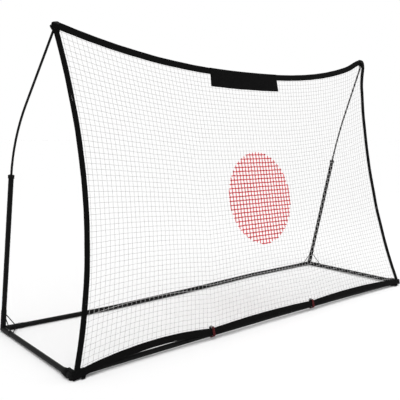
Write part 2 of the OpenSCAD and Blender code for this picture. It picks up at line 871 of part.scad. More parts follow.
// Rings of a knot: the way along the cord and the radius, both in shares of knot_r
knot_rings = [[-1, 0.45], [-0.5, 0.88], [0, 1], [0.5, 0.88]];

module shock_cord(joints) {
    n = len(joints) - 1;
    start = toward_point(joints[0], joints[1], knot_at);
    end = toward_point(joints[n], joints[n - 1], knot_at);
    in_way = unit(joints[1] - joints[0]);
    out_way = unit(joints[n - 1] - joints[n]);
    last = len(knot_rings) - 1;
    color("#2c2c30") swept(
        concat(
            [for (k = knot_rings) start + k[0] * knot_r * in_way],
            [start + 1.2 * knot_r * in_way],
            [for (i = [1:n - 1]) joints[i]],
            [end + 1.2 * knot_r * out_way],
            [for (i = [last:-1:0]) end + knot_rings[i][0] * knot_r * out_way]
        ),
        [0, 0, 1],
        concat(
            [for (k = knot_rings) k[1] * knot_r],
            [for (i = [0:n]) shock_d / 2],
            [for (i = [last:-1:0]) knot_rings[i][1] * knot_r]
        )
    );
}

module plug(p, q) {
    toward(p, q) translate([0, 0, plug_at - plug_length / 2]) difference() {
        cylinder(h = plug_length, d = tube_bore - 2 * socket_gap);
        translate([0, 0, -1]) cylinder(h = plug_length + 2, d = shock_d + 2 * fit_gap);
    }
}

module cord_plugs() {
    n = bar_sections;
    color("#303034") {
        plug(rear_joint(0), rear_joint(1));
        plug(rear_joint(n), rear_joint(n - 1));
        plug(front_joint(0), front_joint(1));
        plug(front_joint(n), front_joint(n - 1));
    }
}

rear_bracket_left();
rear_bracket_right();
rear_section(1);  // rear_bar_1
rear_section(2);  // rear_bar_2
rear_section(3);  // rear_bar_3
rear_section(4);  // rear_bar_4
front_section(1);  // front_bar_1
front_section(2);  // front_bar_2
front_section(3);  // front_bar_3
front_section(4);  // front_bar_4
side_bar(false);  // side_bar_left
side_bar(true);  // side_bar_right
front_elbow(false);  // front_elbow_left
front_elbow(true);  // front_elbow_right
upright(false);  // upright_left
upright(true);  // upright_right
rod_collar(false);  // rod_collar_left
rod_collar(true);  // rod_collar_right
rod(false);  // rod_left
rod(true);  // rod_right
rod_cap(false);  // rod_cap_left
rod_cap(true);  // rod_cap_right
net();
target_spot();
top_tape();
bottom_tape();
left_tape();
right_tape();
blank_tab();
top_loop(false);  // top_loop_left
top_loop(true);  // top_loop_right
side_strap(false);  // side_strap_left
side_strap(true);  // side_strap_right
front_strap(false);  // front_strap_left
front_strap(true);  // front_strap_right
tie_ball(tie_left);  // tie_ball_left
tie_ball(tie_right);  // tie_ball_right
tie_loop(tie_left);  // tie_loop_left
tie_loop(tie_right);  // tie_loop_right
shock_cord([for (i = [0:bar_sections]) rear_joint(i)]);  // shock_cord_rear
shock_cord([for (i = [0:bar_sections]) front_joint(i)]);  // shock_cord_front
cord_plugs();
at_upright_button(false) snap_button(button_up);  // button_left_upright
at_rear_button(false) snap_button(button_out);  // button_left_rear
at_side_button(false) snap_button(button_out);  // button_left_side
at_upright_button(true) snap_button(button_up);  // button_right_upright
at_rear_button(true) snap_button(button_out);  // button_right_rear
at_side_button(true) snap_button(button_out);  // button_right_side
button_springs();
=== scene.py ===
"""A pitching target net: the fine net, edge tapes, tab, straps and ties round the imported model,
the finish of every piece, and a plain pale studio. Metres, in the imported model's own frame."""
import math

import bpy
import numpy as np
from mathutils import Matrix, Vector


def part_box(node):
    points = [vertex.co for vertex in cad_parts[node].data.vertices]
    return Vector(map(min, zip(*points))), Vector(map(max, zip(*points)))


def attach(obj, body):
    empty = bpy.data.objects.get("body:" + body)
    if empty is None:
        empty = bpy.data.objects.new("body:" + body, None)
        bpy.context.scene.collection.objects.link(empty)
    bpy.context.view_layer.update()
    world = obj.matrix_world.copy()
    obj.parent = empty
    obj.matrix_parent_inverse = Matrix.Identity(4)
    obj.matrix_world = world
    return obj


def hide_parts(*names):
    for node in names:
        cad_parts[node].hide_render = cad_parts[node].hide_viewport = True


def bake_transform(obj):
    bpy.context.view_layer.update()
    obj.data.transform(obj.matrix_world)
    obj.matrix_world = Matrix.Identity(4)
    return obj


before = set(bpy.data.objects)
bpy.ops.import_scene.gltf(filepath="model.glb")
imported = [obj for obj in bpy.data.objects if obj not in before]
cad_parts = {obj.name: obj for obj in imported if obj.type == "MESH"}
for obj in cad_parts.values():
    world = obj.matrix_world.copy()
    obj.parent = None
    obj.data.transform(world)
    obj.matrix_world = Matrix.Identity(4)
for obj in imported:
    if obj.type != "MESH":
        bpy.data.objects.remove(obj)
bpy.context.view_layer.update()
ROOT = "frame_and_net"
SIDES = {"left": -1, "right": 1}
rng = np.random.default_rng(11)

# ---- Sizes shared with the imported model. HALF and DEPTH run between the bars' centre lines
HALF = 1.220
DEPTH = 0.762
bar_low, bar_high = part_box("front_bar_2")
FRONT_Y = (bar_low.y + bar_high.y) / 2
TUBE_R = (bar_high.y - bar_low.y) / 2
FRONT_Z = 0.020
FRONT_LIFTS = (0.0, 0.006, 0.009, 0.006, 0.0)     # of the front bar's ends and joints
REAR_Z = 0.0147
FIT = 0.0003
NET_FRONT = 0.016
NET_LIFT = 0.048
TIP_INSET = 0.103
TIP_SETBACK = 0.277
TIP_HEIGHT = 1.485
TIP_CLEAR = 0.018
# How the net's outline draws in: at its lower corners, between the corners of each side and on top
INSETS = {"left": 0.012, "right": 0.022}
CORNER_RISE = 0.012
DRAWS = {"left": 0.096, "right": 0.102}
DRAW_SKEW = 0.1
TOP_DRAW = 0.154
TOP_POWER = 2.4
TOP_SKEW = 0.06
# The right top corner is gathered: its side edge is drawn out and its top edge lifts near the rod
GATHER_OUT = 0.025
GATHER_LENGTH = 0.160
GATHER_POWER = 1.3
GATHER_FADE = 12
GATHER_LIFT = 0.011
GATHER_LIFT_AT = 0.050
GATHER_LIFT_REACH = 0.070
# The lower edge: how far its ends and its tied places hang down, and how high the bays between them rise
END_DROPS = (0.026, 0.020)
TIE_DROP = 0.003
LIFTS = (0.033, 0.010, 0.016)
TIES = {"left": -0.448, "right": 0.317}
BALL_RISE = 0.017
TAPE_WIDTH = 0.026
TAPE_THICKNESS = 0.004
TAPE_OVER = 0.006
# As broad as the photo shows them. The lower tape is set down a little, so its lower edge stays in place
SIDE_WIDTHS = {"left": 0.027, "right": 0.030}
LOW_TAPE_WIDTH = 0.034
LOW_TAPE_DROP = 0.002
TOP_TAPE_WIDTH = 0.034
TAB_WIDTH = 0.506
TAB_HEIGHT = 0.100
STRAP = 0.0025
STRAP_WIDTH = 0.020
STRAP_AT = 0.041
SIDE_STRAP_AT = 0.020
TONGUE = 0.024
ELBOW_R = 0.016
CORNER_PROUD = 0.0007
ELASTIC_R = 0.0025
ELASTIC_GAP = 0.008

# ---- Sizes of the real net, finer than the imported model's
MESHES_ACROSS = 93
MESHES_UP = 59
TWINE_R = 0.0008
TWINE_SIDES = 5
NET_KNOT = (2.0 * TWINE_R, 1.7 * TWINE_R)     # half its width and half its depth
KNOT_STRETCH = (1.15, 0.85)
UNEVEN = 0.0005                               # how far knots stray, as a spread and at most
UNEVEN_MOST = 0.0012
UNEVEN_OUT = 0.4                              # the share of it that they stray out of the net
TARGET_MIDDLE = (0.006, 0.638)
TARGET_HALF = (0.2345, 0.2545)
TARGET_TWINE = (0.0020, 1.6)                  # radius, and how much wider than thick
TARGET_SIDES = 8
TARGET_STEP = 0.0025
TARGET_PINCH = (0.10, 0.9)
TARGET_KNOT = (0.0052, 0.0030)
TARGET_KNOT_PROUD = 0.0006

# ---- Places that follow from them. The net leans back by LEAN, and s runs up it from its lower edge
LEAN = math.atan2(TIP_SETBACK + NET_FRONT, TIP_HEIGHT - NET_LIFT)
ORIGIN = np.array([0.0, FRONT_Y - NET_FRONT, NET_LIFT])
ALONG = np.array([1.0, 0.0, 0.0])
UP = np.array([0.0, math.sin(LEAN), math.cos(LEAN)])
OUT = np.array([0.0, -math.cos(LEAN), math.sin(LEAN)])
TIP_S = math.hypot(TIP_SETBACK + NET_FRONT, TIP_HEIGHT - NET_LIFT)
CORNER_S = TIP_S + CORNER_RISE
TOP_SPAN = 2 * (HALF - TIP_INSET)
HELD = (-HALF, TIES["left"], TIES["right"], HALF)
HELD_S = (-END_DROPS[0], -TIE_DROP, -TIE_DROP, -END_DROPS[1])


# ---- The net's own surface: x across, s up from the lower tape, d out in front
def on_net(x, s, d=0.0):
    x, s, d = (np.asarray(v, float)[..., None] for v in (x, s, d))
    return ORIGIN + x * ALONG + s * UP + d * OUT


def side_x(v, side):
    """How far a side edge is from the middle. It draws in between its corners, most of all below."""
    draw = 4 * DRAWS[side] * v * (1 - v) * (1 + DRAW_SKEW * (1 - 2 * v))
    return HALF - INSETS[side] - (TIP_INSET - INSETS[side]) * v - draw


def gather(v):
    """How far the right edge is drawn out near its top corner."""
    rise = (v * CORNER_S - TIP_S + GATHER_LENGTH) / (GATHER_LENGTH - TIP_CLEAR)
    return GATHER_OUT * np.clip(rise, 0, 1) ** GATHER_POWER


def top_s(u):
    """The top edge hangs between its corners, lowest a little to the right of its middle."""
    w = 2 * u - 1
    place = w - TOP_SKEW * (1 - w * w)
    lift = GATHER_LIFT * np.exp(-(((1 - u) * TOP_SPAN - GATHER_LIFT_AT) / GATHER_LIFT_REACH) ** 2)
    return CORNER_S - TOP_DRAW * (1 - np.abs(place) ** TOP_POWER) + lift


def low_s(x):
    """The lower edge lifts between the places that hold it, and is drawn down at its ends."""
    x = np.clip(np.asarray(x, float), -HALF, HALF)
    s = np.zeros_like(x)
    for i, lift in enumerate(LIFTS):
        t = (x - HELD[i]) / (HELD[i + 1] - HELD[i])
        bay = HELD_S[i] + (HELD_S[i + 1] - HELD_S[i]) * t + 4 * lift * t * (1 - t)
        s = np.where((t >= 0) & (t <= 1), bay, s)
    return s


def bar_height(x):
    """Height of the front bar's centre line, which the net's pull lifts at its joints."""
    return FRONT_Z + float(np.interp(x, np.linspace(-HALF, HALF, len(FRONT_LIFTS)), FRONT_LIFTS))


def net_x(u, v):
    return u * side_x(v, "right") - (1 - u) * side_x(v, "left") + gather(v) * u ** GATHER_FADE


def net_point(u, v):
    """x and s at shares u of the net's width and v of its height."""
    low = low_s(net_x(u, 0.0))
    return net_x(u, v), low + (top_s(u) - low) * v


# ---- Mesh making
def looks_inwards(points, faces):
    """Whether the faces of a closed skin are wound so that they look inwards."""
    fans = np.array([(face[0], face[i], face[i + 1]) for face in faces for i in range(1, len(face) - 1)])
    a, b, c = (points - points[0])[fans.T]
    return np.einsum("ij,ij->", a, np.cross(b, c)) < 0


class Shape:
    """Points and faces of one piece. Each face corner has a cloth place: metres along, metres across."""

    def __init__(self):
        self.points, self.faces, self.cloth, self.paint = [], [], [], []
        self.count = 0

    def add(self, points, faces, cloth=None, paint=0):
        """Adds one closed skin, turned so that its faces look outwards."""
        points = np.asarray(points, float)
        cloth = cloth or [[tuple(points[i][:2]) for i in face] for face in faces]
        if looks_inwards(points, faces):
            faces, cloth = [face[::-1] for face in faces], [places[::-1] for places in cloth]
        self.points.append(points)
        self.faces += [[self.count + i for i in face] for face in faces]
        self.cloth += cloth
        self.paint += [paint] * len(faces)
        self.count += len(points)

    def sweep(self, path, profile, side, out, paint=0, closed=False):
        """A closed profile of (across, out) points along a path, capped unless the path is closed."""
        path, profile = np.asarray(path, float), np.asarray(profile, float)
        n, m = len(path), profile.shape[-2]
        across, away = profile[..., 0], profile[..., 1]
        side = np.broadcast_to(side, path.shape)
        out = np.broadcast_to(out, path.shape)
        across = np.broadcast_to(across, (n, m))[..., None]
        away = np.broadcast_to(away, (n, m))[..., None]
        points = (path[:, None] + across * side[:, None] + away * out[:, None]).reshape(-1, 3)
        runs = np.linalg.norm(np.diff(path, axis=0), axis=1)
        along = np.concatenate([[0], np.cumsum(runs)])
        ring = profile[0] if profile.ndim == 3 else profile
        steps = np.linalg.norm(np.roll(ring, -1, axis=0) - ring, axis=1)
        around = np.concatenate([[0], np.cumsum(steps)])
        faces, cloth = [], []
        for i in range(n if closed else n - 1):
            k = (i + 1) % n
            far = along[i + 1] if i + 1 < n else along[i] + runs[-1]
            for j in range(m):
                jj = (j + 1) % m
                faces.append([i * m + j, i * m + jj, k * m + jj, k * m + j])
                cloth.append([(along[i], around[j]), (along[i], around[j + 1]),
                              (far, around[j + 1]), (far, around[j])])
        if not closed:
            faces += [list(range(m))[::-1], [(n - 1) * m + j for j in range(m)]]
            cloth += [[(0, around[j]) for j in range(m)][::-1], [(along[-1], around[j]) for j in range(m)]]
        self.add(points, faces, cloth, paint)

    def piece(self, name, materials, crease=math.radians(50)):
        """The finished object. Edges sharper than the crease stay sharp, and none does without one."""
        mesh = bpy.data.meshes.new(name)
        mesh.from_pydata(np.concatenate(self.points).tolist(), [], self.faces)
        places = mesh.attributes.new("cloth", "FLOAT_VECTOR", "CORNER")
        flat = [c for face in self.cloth for a, b in face for c in (a, b, 0.0)]
        places.data.foreach_set("vector", flat)
        mesh.polygons.foreach_set("material_index", self.paint)
        mesh.update()
        mesh.shade_smooth()
        if crease:
            mesh.set_sharp_from_angle(angle=crease)
        for material in materials:
            mesh.materials.append(material)
        obj = bpy.data.objects.new(name, mesh)
        bpy.context.scene.collection.objects.link(obj)
        return obj


def circle(radius, count, wide=1.0):
    """A round profile, or an oval one that is wide times as broad as it is thick."""
    a = np.arange(count) * 2 * math.pi / count
    return np.stack([wide * radius * np.cos(a), radius * np.sin(a)], axis=1)


def unit(v):
    return v / np.linalg.norm(v, axis=-1, keepdims=True)


def headings(path):
    """The way along a path at each of its points."""
    steps = unit(np.diff(path, axis=0))
    return unit(np.concatenate([steps[:1], steps[:-1] + steps[1:], steps[-1:]]))


def smooth_path(points, step):
    """A Catmull-Rom curve through points, with one point about every step."""
    p = np.asarray(points, float)
    p = np.concatenate([[2 * p[0] - p[1]], p, [2 * p[-1] - p[-2]]])
    line = []
    for a, b, c, d in zip(p, p[1:], p[2:], p[3:]):
        count = max(1, round(float(np.linalg.norm(c - b)) / step))
        for t in np.arange(count) / count:
            line.append(0.5 * (2 * b + (c - a) * t + (2 * a - 5 * b + 4 * c - d) * t ** 2
                               + (3 * b - a - 3 * c + d) * t ** 3))
    return np.array(line + [p[-2]])


# ---- Materials
WAVE_TURN = 20     # radians of Blender's wave texture to one unit of its own space


class Finish:
    """A material whose colour, roughness and relief come from patterns. Plain numbers go on the shader."""

    def __init__(self, name, **sockets):
        self.material = bpy.data.materials.new(name)
        self.material.use_nodes = True
        self.tree = self.material.node_tree
        self.shader = self.tree.nodes["Principled BSDF"]
        self.height = None
        for socket, value in sockets.items():
            self.shader.inputs[socket.replace("_", " ")].default_value = value

    def node(self, kind, **settings):
        made = self.tree.nodes.new(kind)
        for name, value in settings.items():
            if name in made.inputs:
                made.inputs[name].default_value = value
            else:
                setattr(made, name, value)
        return made

    def link(self, a, b):
        self.tree.links.new(a, b)

    def place(self, source, stretch=(1, 1, 1), turn=0.0):
        """Coordinates: Object for the frame's own metres, cloth for metres along and across a piece."""
        if source == "cloth":
            start = self.node("ShaderNodeAttribute", attribute_name="cloth").outputs["Vector"]
        else:
            start = self.node("ShaderNodeTexCoord").outputs["Object"]
        moved = self.node("ShaderNodeMapping", Scale=stretch, Rotation=(0, 0, turn))
        self.link(start, moved.inputs["Vector"])
        return moved.outputs["Vector"]

    def noise(self, scale, detail, stretch=(1, 1, 1)):
        made = self.node("ShaderNodeTexNoise", Scale=scale, Detail=detail)
        self.link(self.place("Object", stretch), made.inputs["Vector"])
        return made.outputs["Fac"]

    def cells(self, scale):
        made = self.node("ShaderNodeTexVoronoi", Scale=scale)
        self.link(self.place("Object"), made.inputs["Vector"])
        return made.outputs["Distance"]

    def ribs(self, pitch, turn=0.0, wobble=0.0):
        """Ribs across the cloth's length, turned by an angle, one every pitch metres."""
        made = self.node("ShaderNodeTexWave", Scale=1 / (pitch * WAVE_TURN) * 2 * math.pi,
                         Distortion=wobble)
        self.link(self.place("cloth", turn=turn), made.inputs["Vector"])
        return made.outputs["Fac"]

    def both(self, a, b, how="MULTIPLY"):
        made = self.node("ShaderNodeMath", operation=how)
        self.link(a, made.inputs[0])
        self.link(b, made.inputs[1])
        return made.outputs[0]

    def colours(self, pattern, *stops):
        ramp = self.node("ShaderNodeValToRGB")
        elements = ramp.color_ramp.elements
        while len(elements) < len(stops):
            elements.new(0.5)
        for element, (place, colour) in zip(elements, stops):
            element.position = place
            element.color = (*colour, 1)
        self.link(pattern, ramp.inputs["Fac"])
        self.link(ramp.outputs["Color"], self.shader.inputs["Base Color"])
        return self

    def rough(self, pattern, low, high):
        made = self.node("ShaderNodeMapRange", **{"To Min": low, "To Max": high})
        self.link(pattern, made.inputs["Value"])
        self.link(made.outputs["Result"], self.shader.inputs["Roughness"])
        return self

    def relief(self, pattern, depth, strength):
        """A bump on top of those made before it."""
        made = self.node("ShaderNodeBump", Strength=strength, Distance=depth)
        self.link(pattern, made.inputs["Height"])
        if self.height is not None:
            self.link(self.height, made.inputs["Normal"])
        self.height = made.outputs["Normal"]
        self.link(self.height, self.shader.inputs["Normal"])
        return self


def grey(value, warm=0.0):
    """A grey in linear light, a little towards red where it is warm."""
    return (value * (1 + warm), value, value * (1 - warm))


def powder_coat(name, base, low, high):
    """Satin black paint on steel: orange peel, faint cloudiness and a few scuffs."""
    f = Finish(name, Specular_IOR_Level=0.06)
    scuffs = f.noise(40, 8, stretch=(0.25, 1, 1))
    f.colours(scuffs, (0.30, grey(base)), (0.66, grey(base * 1.25)), (0.78, grey(base * 2.6)))
    f.rough(f.noise(9, 5), low, high)
    f.relief(f.noise(900, 2), 0.00012, 0.35)
    return f.relief(scuffs, 0.0001, 0.15).material


def moulded(name, base, low, high, grain=2600):
    """Black moulded plastic with a fine grain."""
    f = Finish(name, Specular_IOR_Level=0.05)
    f.colours(f.noise(60, 4), (0.3, grey(base)), (0.75, grey(base * 1.5)))
    f.rough(f.noise(24, 4), low, high)
    return f.relief(f.cells(grain), 0.00008, 0.4).material


def fibreglass(name, base):
    """A smooth wound rod: faint lengthwise fibres under a thin resin skin."""
    f = Finish(name, Specular_IOR_Level=0.07, Coat_Weight=0.03, Coat_Roughness=0.25)
    fibres = f.noise(260, 5, stretch=(1, 1, 0.04))
    f.colours(fibres, (0.32, grey(base)), (0.70, grey(base * 1.8)))
    f.rough(f.noise(14, 3), 0.28, 0.42)
    return f.relief(fibres, 0.00008, 0.3).material


def woven(name, base, pitch, high=2.4, sheen=0.008):
    """Black webbing: lengthwise ribs crossed by a twill. Its colour is lighter along the twill, a painted
    highlight where it catches the light, and a little darker between its threads, a painted shade.
    """
    f = Finish(name, Specular_IOR_Level=0.03, Sheen_Weight=sheen, Sheen_Roughness=0.45)
    twill = f.ribs(pitch, math.radians(35), 0.3)
    threads = f.ribs(pitch * 0.62, math.radians(90), 0.2)
    weave = f.both(twill, threads)
    # Painted highlight and painted shade: the colour follows the weave, lighter on the twill's raised
    # threads and darker between them.
    f.colours(weave, (0.05, grey(base * 0.75)), (0.55, grey(base)), (1.0, grey(base * high)))
    f.rough(f.noise(30, 4), 0.68, 0.86)
    f.relief(weave, 0.00035, 0.8)
    return f.relief(f.noise(1400, 2), 0.0001, 0.3).material


def twisted(name, dark, light, pitch, depth, sheen):
    """Laid twine: strands that wind round the cord."""
    f = Finish(name, Specular_IOR_Level=0.3, Sheen_Weight=sheen, Sheen_Roughness=0.4)
    strands = f.ribs(pitch, math.radians(32), 0.4)
    patches = f.noise(7, 4)
    f.colours(f.both(strands, patches, "ADD"), (0.35, dark), (1.15, light))
    f.rough(patches, 0.55, 0.72)
    return f.relief(strands, depth, 0.8).material


def braided(name, dark, light, sheen=0.3):
    """Elastic cord in a braided sleeve: two sets of threads that cross."""
    f = Finish(name, Specular_IOR_Level=0.15, Sheen_Weight=sheen, Sheen_Roughness=0.4)
    cross = f.both(f.ribs(0.0012, math.radians(40)), f.ribs(0.0012, math.radians(-40)), "MAXIMUM")
    f.colours(cross, (0.2, dark), (0.95, light))
    f.rough(f.noise(50, 3), 0.5, 0.68)
    return f.relief(cross, 0.0003, 0.8).material


def steel(name, base, low, high):
    """Plain spring steel with fine drawing marks."""
    f = Finish(name, Metallic=1.0)
    marks = f.noise(500, 5, stretch=(1, 0.08, 1))
    f.colours(marks, (0.3, grey(base * 0.8)), (0.8, grey(base * 1.15)))
    f.rough(f.noise(70, 4), low, high)
    return f.relief(marks, 0.00005, 0.3).material


tube_paint = powder_coat("tube_paint", 0.004, 0.38, 0.50)
bracket_paint = powder_coat("bracket_paint", 0.004, 0.42, 0.55)
black_plastic = moulded("black_plastic", 0.004, 0.48, 0.62)
ball_plastic = moulded("ball_plastic", 0.006, 0.26, 0.36, 900)
rod_gloss = fibreglass("rod_gloss", 0.004)
webbing = woven("webbing", 0.0038, 0.0022)
strap_cloth = woven("strap_cloth", 0.0040, 0.0026, 2.8)
tab_cloth = woven("tab_cloth", 0.0036, 0.0011, 1.7, 0.006)
black_thread = twisted("black_thread", grey(0.006), grey(0.018), 0.0008, 0.0001, 0.02)
# Painted shade: the net's white twine is coloured a mid grey, darker than its own white, for the shade its
# cords show against the pale studio.
white_twine = twisted("white_twine", grey(0.34, 0.01), grey(0.50, 0.01), 0.0022, 0.00025, 0.1)
red_twine = twisted("red_twine", (0.52, 0.045, 0.055), (0.80, 0.110, 0.125), 0.0030, 0.0005, 0.15)
# Painted shade: the target's knots are coloured a much darker red than its twine, for the shade where the
# cords cross.
red_knots_painted_shade = twisted("red_knots_painted_shade", (0.10, 0.010, 0.014), (0.26, 0.022, 0.030), 0.0030, 0.0005, 0.1)
red_elastic = braided("red_elastic", (0.030, 0.003, 0.003), (0.110, 0.008, 0.010), 0.05)
black_elastic = braided("black_elastic", grey(0.012), grey(0.045))
button_steel = steel("button_steel", 0.42, 0.30, 0.45)
spring_steel = steel("spring_steel", 0.34, 0.34, 0.50)

NODE_FINISHES = {
    "rear_bracket": bracket_paint, "rear_bar": tube_paint, "front_bar": tube_paint,
    "side_bar": tube_paint, "upright": tube_paint, "front_elbow": black_plastic,
    "rod_collar": black_plastic, "rod_cap": black_plastic, "rod": rod_gloss,
    "cord_plugs": black_plastic, "shock_cord": black_elastic, "button_springs": spring_steel,
    "button": button_steel,
}


def finish_nodes():
    """The longest matching name wins, so rod_cap comes before rod."""
    for name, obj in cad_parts.items():
        for start in sorted(NODE_FINISHES, key=len, reverse=True):
            if name.startswith(start):
                obj.data.materials.clear()
                obj.data.materials.append(NODE_FINISHES[start])
                break


# ---- The net
def lump():
    """A low knot: a ball of 12 points and 20 faces."""
    g = (1 + 5 ** 0.5) / 2
    points = unit(np.array([(-1, g, 0), (1, g, 0), (-1, -g, 0), (1, -g, 0), (0, -1, g), (0, 1, g),
                            (0, -1, -g), (0, 1, -g), (g, 0, -1), (g, 0, 1), (-g, 0, -1), (-g, 0, 1)]))
    faces = [(0, 11, 5), (0, 5, 1), (0, 1, 7), (0, 7, 10), (0, 10, 11), (1, 5, 9), (5, 11, 4),
             (11, 10, 2), (10, 7, 6), (7, 1, 8), (3, 9, 4), (3, 4, 2), (3, 2, 6), (3, 6, 8),
             (3, 8, 9), (4, 9, 5), (2, 4, 11), (6, 2, 10), (8, 6, 7), (9, 8, 1)]
    return points, faces


LUMP_POINTS, LUMP_FACES = lump()


def add_knot(shape, centre, wide, deep, turn, paint=0):
    """A knot that lies in the net, longer than broad and turned in it by an angle."""
    c, s = math.cos(turn), math.sin(turn)
    p = LUMP_POINTS
    across = wide * (KNOT_STRETCH[0] * c * p[:, 0] - KNOT_STRETCH[1] * s * p[:, 1])
    upward = wide * (KNOT_STRETCH[0] * s * p[:, 0] + KNOT_STRETCH[1] * c * p[:, 1])
    points = centre + across[:, None] * ALONG + upward[:, None] * UP + deep * p[:, 2:] * OUT
    cloth = [[(upward[i], across[i]) for i in face] for face in LUMP_FACES]
    shape.add(points, LUMP_FACES, cloth, paint)


def net_knots():
    """Where the net's cords cross. They stray a little, apart from those along the net's edges."""
    u, v = np.meshgrid(np.arange(MESHES_ACROSS + 1) / MESHES_ACROSS,
                       np.arange(MESHES_UP + 1) / MESHES_UP, indexing="ij")
    x, s = net_point(u, v)
    uneven = rng.normal(0, UNEVEN, (3, *x.shape)).clip(-UNEVEN_MOST, UNEVEN_MOST)
    uneven[:, [0, -1], :] = 0
    uneven[:, :, [0, -1]] = 0
    return on_net(x + uneven[0], s + uneven[1], UNEVEN_OUT * uneven[2])


KNOTS = net_knots()
CORDS = [*KNOTS, *KNOTS.transpose(1, 0, 2)]


def make_net():
    """Every cord of the net, with a knot at each crossing inside its edges."""
    shape = Shape()
    profile = circle(TWINE_R, TWINE_SIDES)
    for line in CORDS:
        shape.sweep(line, profile, unit(np.cross(headings(line), OUT)), OUT)
    for centre in KNOTS[1:-1, 1:-1].reshape(-1, 3):
        add_knot(shape, centre, *NET_KNOT, rng.uniform(0, math.pi))
    net = shape.piece("knotted_net", [white_twine], crease=None)
    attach(net, ROOT)
    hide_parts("net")


def in_target(points):
    """Whether points near the net lie in the target's oval."""
    away = points - ORIGIN
    x, s = away @ ALONG - TARGET_MIDDLE[0], away @ UP - TARGET_MIDDLE[1]
    return (x / TARGET_HALF[0]) ** 2 + (s / TARGET_HALF[1]) ** 2 < 1


def make_target():
    """Thick red twine over the net's own cords, cut off along an oval, with a knot at each crossing whose
    dark red is painted shade.
    """
    shape = Shape()
    round_twine = circle(TARGET_TWINE[0], TARGET_SIDES, wide=TARGET_TWINE[1])
    for line in CORDS:
        fine = smooth_path(line, TARGET_STEP)
        inside = np.flatnonzero(in_target(fine))
        if len(inside) < 4:
            continue
        fine = fine[inside[0]:inside[-1] + 1]
        pinch = 1 - TARGET_PINCH[0] * np.cos(np.arange(len(fine)) * TARGET_PINCH[1])
        shape.sweep(fine, round_twine * pinch[:, None, None], unit(np.cross(headings(fine), OUT)), OUT)
    for centre in KNOTS[in_target(KNOTS)]:
        add_knot(shape, centre + TARGET_KNOT_PROUD * OUT, *TARGET_KNOT, rng.uniform(0, math.pi), 1)
    target = shape.piece("target_area", [red_twine, red_knots_painted_shade], crease=None)
    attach(target, ROOT)
    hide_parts("target_spot")


# ---- Webbing and stitches
RIB_PITCH = 0.0029
RIB_DEPTH = 0.00022
STRAP_RIB_DEPTH = 0.0002
STITCH_PITCH = 0.0045
STITCH_MARGIN = 0.006
STITCH_LONG = 0.0016
STITCH_WIDE = 0.00038
STITCH_HIGH = 0.0007
STITCH_SUNK = 0.0004
STITCH_FACES = [(0, 1, 4), (1, 5, 4), (1, 2, 5), (2, 3, 5), (3, 4, 5), (3, 0, 4), (0, 3, 2, 1)]


def folded(width, thickness, ribs):
    """Webbing folded over the net's edge: ribbed faces, a round fold at -across, two edges at +across."""
    half, high = width / 2, thickness / 2
    bend = [(-half + high - high * math.sin(a) * 0.98, high * math.cos(a))
            for a in np.radians([150, 120, 90, 60, 30])]
    start, end = -half + high, half - 0.0005
    face = [(start + (end - start) * k / (2 * ribs), high - (RIB_DEPTH if k % 2 else 0))
            for k in range(2 * ribs + 1)]
    lip = [(half, high - 0.0005), (half, 0.0004), (half - 0.0025, 0.0002)]
    return np.array(bend + face + lip + [(a, -o) for a, o in (face + lip)[::-1]])


def strip_profile(width, thickness, ribs):
    """Flat webbing with ribs on both faces."""
    half, high = width / 2, thickness / 2
    face = [(-half + 0.0004 + (width - 0.0008) * k / (2 * ribs), high - (STRAP_RIB_DEPTH if k % 2 else 0))
            for k in range(2 * ribs + 1)]
    edge = [(half, high - 0.0005), (half, -high + 0.0005)]
    other = [(-half, -high + 0.0005), (-half, high - 0.0005)]
    return np.array(face + edge + [(a, -o) for a, o in face[::-1]] + other)


def stitches(shape, line, inward, offset, out, thickness, pitch=STITCH_PITCH):
    """A row of short stitches that stand on both faces of a tape."""
    far = np.concatenate([[0], np.cumsum(np.linalg.norm(np.diff(line, axis=0), axis=1))])
    places = np.arange(STITCH_MARGIN, far[-1] - STITCH_MARGIN, pitch)
    way = headings(line)
    for place in places:
        i = int(np.searchsorted(far, place)) - 1
        t = (place - far[i]) / (far[i + 1] - far[i])
        middle = line[i] * (1 - t) + line[i + 1] * t + offset * inward[i]
        for normal in (out, -out):
            root = middle + normal * (thickness / 2 - STITCH_SUNK)
            long, wide, high = STITCH_LONG * way[i], STITCH_WIDE * inward[i], STITCH_HIGH * normal
            points = [root - long, root + wide, root + long, root - wide,
                      root - 0.5 * long + high, root + 0.5 * long + high]
            shape.add(points, STITCH_FACES, [[(0.0, 0.0)] * len(f) for f in STITCH_FACES], 1)


# ---- Edge tapes
RIPPLES = ((0.0006, 2 * math.pi / 0.31), (0.0004, 29))     # height, and radians to a metre of tape
RIPPLE_FADE = 0.06
TAPE_NARROWING = (0.012, 0.55)                             # share of the width, and radians to a point
FOLD_SEAM = 0.0045
LIP_SEAM = 0.0035
SIDE_TAPE_THICKNESS = 0.86 * TAPE_THICKNESS
TAPE_POINTS = {"top": 231, "bottom": 247, "side": 145}


def edge_line(x, s, waves):
    """A tape's middle line along an edge. It ripples in and out of the net, but not at its ends."""
    far = np.concatenate([[0], np.cumsum(np.hypot(np.diff(x), np.diff(s)))])
    ripple = sum(high * np.sin(far * pace + start) for (high, pace), start in zip(RIPPLES, waves))
    fade = np.clip(np.minimum(far, far[-1] - far) / RIPPLE_FADE, 0, 1)
    return on_net(x, s, ripple * fade)


def make_tape(name, node, x, s, inward_sign, width, waves, thickness=TAPE_THICKNESS):
    """Webbing folded over one edge of the net, with a row of stitches along its fold and its lip."""
    line = edge_line(x, s, waves)
    inward = inward_sign * unit(np.cross(OUT, headings(line)))
    narrow = 1 + TAPE_NARROWING[0] * np.sin(np.arange(len(line)) * TAPE_NARROWING[1] + waves[0])
    profile = folded(width, thickness, round(width / RIB_PITCH)) * narrow[:, None, None]
    shape = Shape()
    shape.sweep(line, profile if inward_sign > 0 else profile[:, ::-1], inward, OUT)
    for offset in (width / 2 - LIP_SEAM, -width / 2 + FOLD_SEAM):
        stitches(shape, line, inward, offset, OUT, thickness)
    tape = shape.piece(name, [webbing, black_thread])
    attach(tape, ROOT)
    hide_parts(node)


